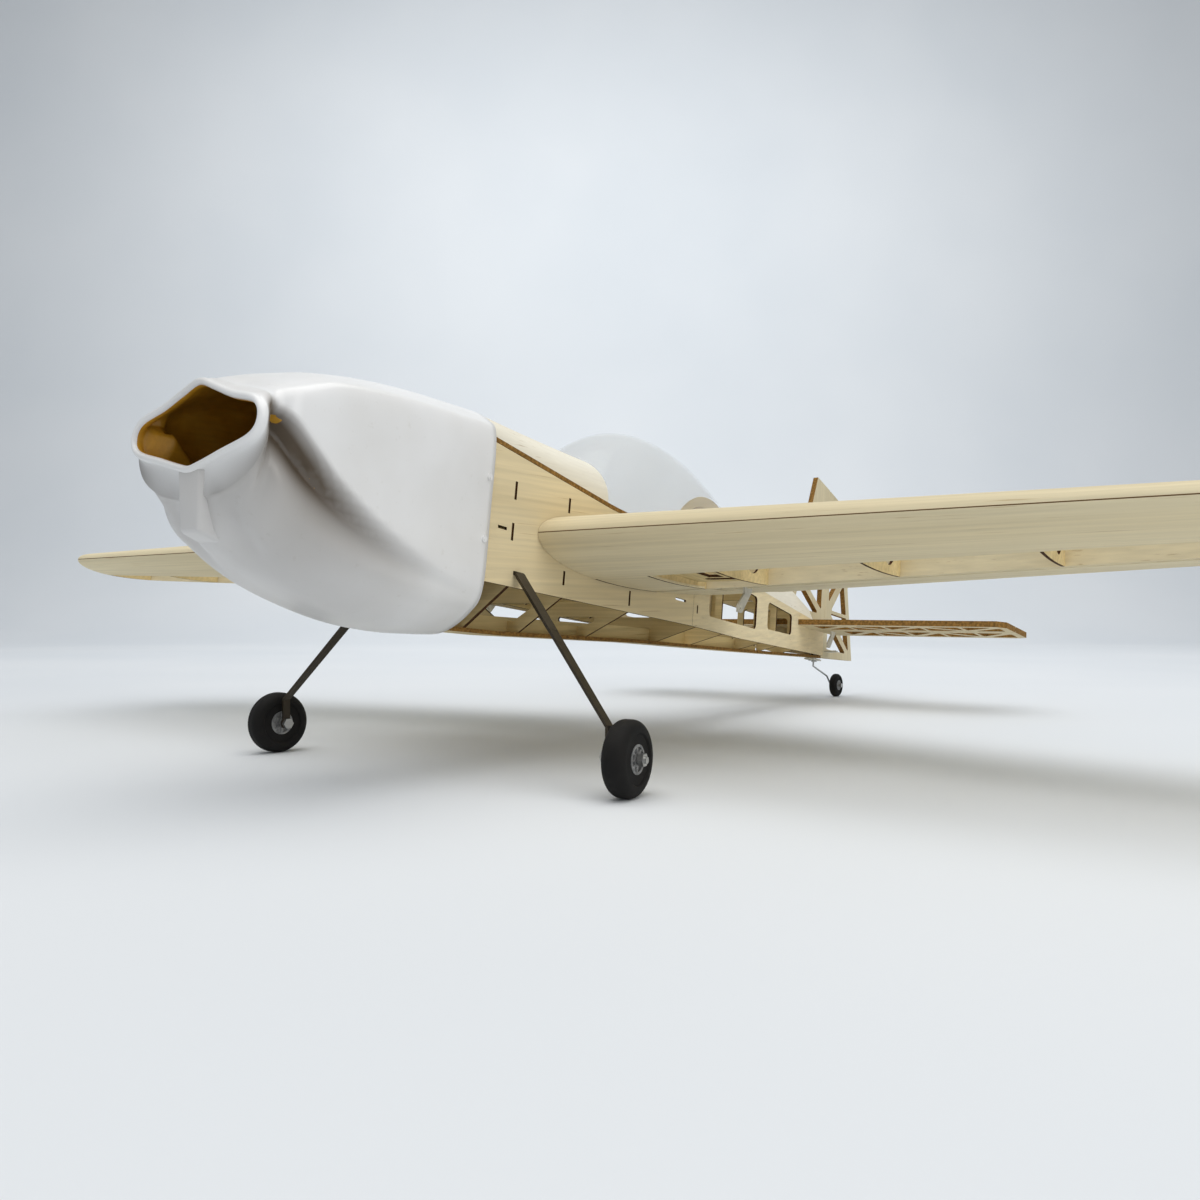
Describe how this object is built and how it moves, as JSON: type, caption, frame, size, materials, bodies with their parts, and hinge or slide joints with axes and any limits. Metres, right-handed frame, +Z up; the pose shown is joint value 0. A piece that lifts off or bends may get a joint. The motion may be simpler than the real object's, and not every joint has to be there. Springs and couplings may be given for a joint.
{
  "type": "radio-controlled model aircraft",
  "caption": "Bare balsa aerobatic model aircraft on its wheels, with moving control surfaces, a lift-off hatch with clear canopy, and rolling, steered wheels.",
  "frame": {"origin": "centre of the bounding box on the ground, under the standing aircraft", "axes": "+X towards the left wing tip, +Y towards the tail, +Z up"},
  "size_m": [1.13, 0.9322, 0.2674],
  "materials": {
    "balsa": "bare laser-cut balsa, matt",
    "light_ply": "bare light plywood, matt",
    "hardwood": "smooth hardwood dowel",
    "gelcoat": "white gelcoat on glass fibre, satin gloss",
    "clear_canopy": "clear vacuum-formed sheet",
    "steel": "plated steel",
    "carbon": "wrapped carbon fibre tube",
    "nylon": "moulded nylon and ply",
    "leg_strip": "dark satin strip",
    "tyre": "dense black foam rubber",
    "hub": "grey moulded hub"
  },
  "bodies": {
    "airframe": {"aileron_hinges": "nylon", "aileron_servo_plates": "light_ply", "axle_hardware": "steel", "battery_tray": "light_ply", "belly_strip": "balsa", "cowl": "gelcoat", "cowl_screws": "steel", "fin": "balsa", "firewall": "light_ply", "formers": "light_ply", "gear_leg_left": "leg_strip", "gear_leg_right": "leg_strip", "gear_plate": "light_ply", "gear_screws": "steel", "keel": "light_ply", "motor_box": "light_ply", "servo_tray": "light_ply", "side_doublers": "light_ply", "side_front_left": "balsa", "side_front_right": "balsa", "side_rear_left": "balsa", "side_rear_right": "balsa", "stabilizer": "balsa", "tail_bracket": "nylon", "tail_bracket_screws": "steel", "tail_hinges": "nylon", "turtle_formers": "balsa", "turtle_sheets": "balsa", "wing_dowels": "hardwood", "wing_lower_skin_left": "balsa", "wing_lower_skin_right": "balsa", "wing_ribs_left": "balsa", "wing_ribs_right": "balsa", "wing_root_panels": "balsa", "wing_screws": "steel", "wing_spars_left": "light_ply", "wing_spars_right": "light_ply", "wing_tube": "carbon", "wing_upper_skin_left": "balsa", "wing_upper_skin_right": "balsa"},
    "aileron_left": {"aileron_left": "balsa", "aileron_horn_left": "nylon"},
    "aileron_right": {"aileron_right": "balsa", "aileron_horn_right": "nylon"},
    "elevator": {"elevator": "balsa", "elevator_horn": "nylon"},
    "rudder": {"rudder": "balsa", "rudder_horn": "nylon"},
    "hatch": {"hatch_frame": "light_ply", "hatch_deck": "balsa", "canopy": "clear_canopy", "hatch_pegs": "hardwood", "hatch_magnets": "steel"},
    "main_wheel_left": {"main_tyre_left": "tyre", "main_hub_left": "hub"},
    "main_wheel_right": {"main_tyre_right": "tyre", "main_hub_right": "hub"},
    "tail_fork": {"tail_strut": "steel"},
    "tail_wheel": {"tail_tyre": "tyre", "tail_hub": "hub"}
  },
  "joints": [
    {"name": "aileron_left_hinge", "type": "hinge", "parent": "airframe", "child": "aileron_left", "pos_m": [0.3345, -0.11548, 0.14435], "axis": [0.9894, -0.1439, 0.0189], "range_deg": [-25, 25]},
    {"name": "aileron_right_hinge", "type": "hinge", "parent": "airframe", "child": "aileron_right", "pos_m": [-0.3345, -0.11548, 0.14435], "axis": [0.9894, 0.1439, -0.0189], "range_deg": [-25, 25]},
    {"name": "elevator_hinge", "type": "hinge", "parent": "airframe", "child": "elevator", "pos_m": [0, 0.32373, 0.08653], "axis": [1, 0, 0], "range_deg": [-28, 28]},
    {"name": "rudder_hinge", "type": "hinge", "parent": "airframe", "child": "rudder", "pos_m": [0, 0.38693, 0.15284], "axis": [0, 0.1305, 0.9914], "range_deg": [-30, 30]},
    {"name": "tail_steer", "type": "hinge", "parent": "airframe", "child": "tail_fork", "pos_m": [0, 0.35075, 0.04666], "axis": [0, 0.1305, 0.9914], "range_deg": [-30, 30]},
    {"name": "tail_wheel_spin", "type": "hinge", "parent": "tail_fork", "child": "tail_wheel", "pos_m": [0.005, 0.40918, 0.014], "axis": [1, 0, 0], "continuous": true},
    {"name": "main_wheel_left_spin", "type": "hinge", "parent": "airframe", "child": "main_wheel_left", "pos_m": [0.159, -0.29082, 0.0225], "axis": [0.9925, 0.1219, 0], "continuous": true},
    {"name": "main_wheel_right_spin", "type": "hinge", "parent": "airframe", "child": "main_wheel_right", "pos_m": [-0.159, -0.29082, 0.0225], "axis": [0.9925, -0.1219, 0], "continuous": true},
    {"name": "hatch_lift", "type": "slide", "parent": "airframe", "child": "hatch", "axis": [0, 0.1305, 0.9914], "range_m": [0, 0.12]}
  ],
  "couplings": [
    {"joint": "aileron_right_hinge", "follows": "aileron_left_hinge", "ratio": -1},
    {"joint": "tail_steer", "follows": "rudder_hinge", "ratio": 1}
  ]
}
